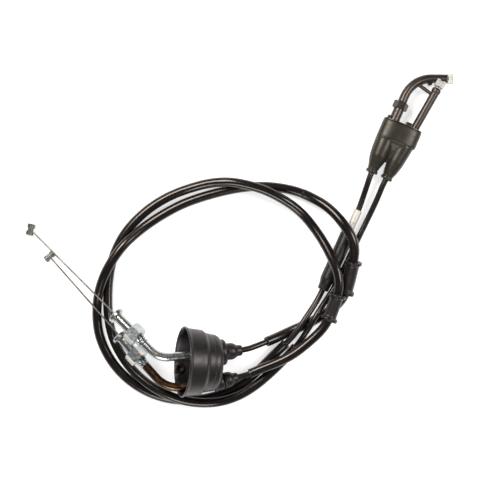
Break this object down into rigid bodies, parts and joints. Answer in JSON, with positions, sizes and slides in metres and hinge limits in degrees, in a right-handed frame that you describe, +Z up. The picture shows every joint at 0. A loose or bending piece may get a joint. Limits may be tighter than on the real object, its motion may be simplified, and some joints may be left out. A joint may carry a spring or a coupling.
{
  "type": "throttle cable set",
  "caption": "Twin push-pull throttle cable set with a rubber housing cover, bent elbow fittings, an in-line adjuster and a split boot over the pipes at the other end.",
  "frame": {"origin": "centre of the footprint of everything but the free cables, on the surface that the set lies on", "axes": "+X from the grip end towards the pipe end, +Y across the loop on the pipe end side, +Z up off the surface"},
  "size_m": [0.408, 0.3164, 0.0653],
  "materials": {
    "black_rubber": "moulded, soft sheen",
    "hose": "extruded vinyl, glossy",
    "conduit": "extruded, glossy",
    "black_pipe": "black coated, semi-gloss",
    "stranded_wire": "bare strands",
    "nipple_zinc": "die cast, dull",
    "boot_rubber": "moulded, dull",
    "bronzed_tube": "brown passivated, glossy",
    "zinc_plated": "bright zinc plate"
  },
  "bodies": {
    "cable_set": {"adjuster_cover": "black_rubber", "adjuster_ferrule": "zinc_plated", "adjuster_screw": "zinc_plated", "carb_boot": "boot_rubber", "housing_cover": "black_rubber", "mouth_plate": "black_pipe", "pipe_brace": "black_pipe", "pipe_stud": "black_pipe", "pull_carb_barrel": "black_pipe", "pull_carb_cap": "black_pipe", "pull_carb_pipe": "black_pipe", "pull_conduit": "conduit", "pull_elbow_fitting": "zinc_plated", "pull_elbow_tube": "zinc_plated", "pull_grip_cap": "black_pipe", "pull_guide": "black_rubber", "pull_inner_cable": "stranded_wire", "pull_loop_sleeve": "hose", "pull_seal": "black_rubber", "pull_thick_sleeve": "hose", "pull_tube_ferrule": "zinc_plated", "pull_upper_conduit": "conduit", "return_carb_cap": "black_pipe", "return_carb_pipe": "black_pipe", "return_conduit": "conduit", "return_elbow_fitting": "zinc_plated", "return_elbow_tube": "bronzed_tube", "return_grip_cap": "black_pipe", "return_guide": "black_rubber", "return_inner_cable": "stranded_wire", "return_seal": "black_rubber", "return_sleeve": "hose", "return_tube_ferrule": "zinc_plated"},
    "pull_grip_end": {"pull_grip_wire": "stranded_wire", "pull_grip_nipple": "nipple_zinc"},
    "return_grip_end": {"return_grip_wire": "stranded_wire", "return_grip_nipple": "nipple_zinc"},
    "pull_carb_end": {"pull_carb_wire": "stranded_wire", "pull_carb_nipple": "nipple_zinc"},
    "return_carb_end": {"return_carb_wire": "stranded_wire", "return_carb_nipple": "nipple_zinc"},
    "pull_lock_nut": {"pull_lock_nut": "zinc_plated"},
    "return_lock_nut": {"return_lock_nut": "zinc_plated"},
    "pull_pipe_nut": {"pull_pipe_nut": "black_pipe"},
    "adjuster_body": {"adjuster_body": "zinc_plated"},
    "adjuster_lock_ring": {"adjuster_lock_ring": "zinc_plated"}
  },
  "joints": [
    {"name": "pull_grip_slide", "type": "slide", "parent": "cable_set", "child": "pull_grip_end", "axis": [0.7092, -0.6801, 0.1857], "range_m": [0, 0.022]},
    {"name": "pull_carb_slide", "type": "slide", "parent": "cable_set", "child": "pull_carb_end", "axis": [0.9976, 0, -0.0698], "range_m": [0, 0.022]},
    {"name": "return_grip_slide", "type": "slide", "parent": "cable_set", "child": "return_grip_end", "axis": [0.6683, -0.7294, 0.1461], "range_m": [0, 0.022]},
    {"name": "return_carb_slide", "type": "slide", "parent": "cable_set", "child": "return_carb_end", "axis": [0.4917, 0.8692, 0.0523], "range_m": [0, 0.022]},
    {"name": "pull_lock_nut_spin", "type": "hinge", "parent": "cable_set", "child": "pull_lock_nut", "pos_m": [-0.09763, -0.09179, 0.03044], "axis": [0.7092, -0.6801, 0.1857], "continuous": true},
    {"name": "return_lock_nut_spin", "type": "hinge", "parent": "cable_set", "child": "return_lock_nut", "pos_m": [-0.09669, -0.11223, 0.02185], "axis": [0.6683, -0.7294, 0.1461], "continuous": true},
    {"name": "pull_pipe_nut_spin", "type": "hinge", "parent": "cable_set", "child": "pull_pipe_nut", "pos_m": [0.15303, 0.1234, 0.00861], "axis": [0.4032, 0.9143, -0.0384], "continuous": true},
    {"name": "adjuster_body_spin", "type": "hinge", "parent": "cable_set", "child": "adjuster_body", "pos_m": [0.0872, -0.03356, 0.0071], "axis": [0.4099, 0.9121, 0], "continuous": true},
    {"name": "adjuster_lock_ring_spin", "type": "hinge", "parent": "cable_set", "child": "adjuster_lock_ring", "pos_m": [0.09376, -0.01896, 0.0071], "axis": [0.4099, 0.9121, 0], "continuous": true}
  ],
  "couplings": [
    {"joint": "pull_carb_slide", "follows": "pull_grip_slide", "ratio": 1},
    {"joint": "return_carb_slide", "follows": "return_grip_slide", "ratio": 1}
  ]
}
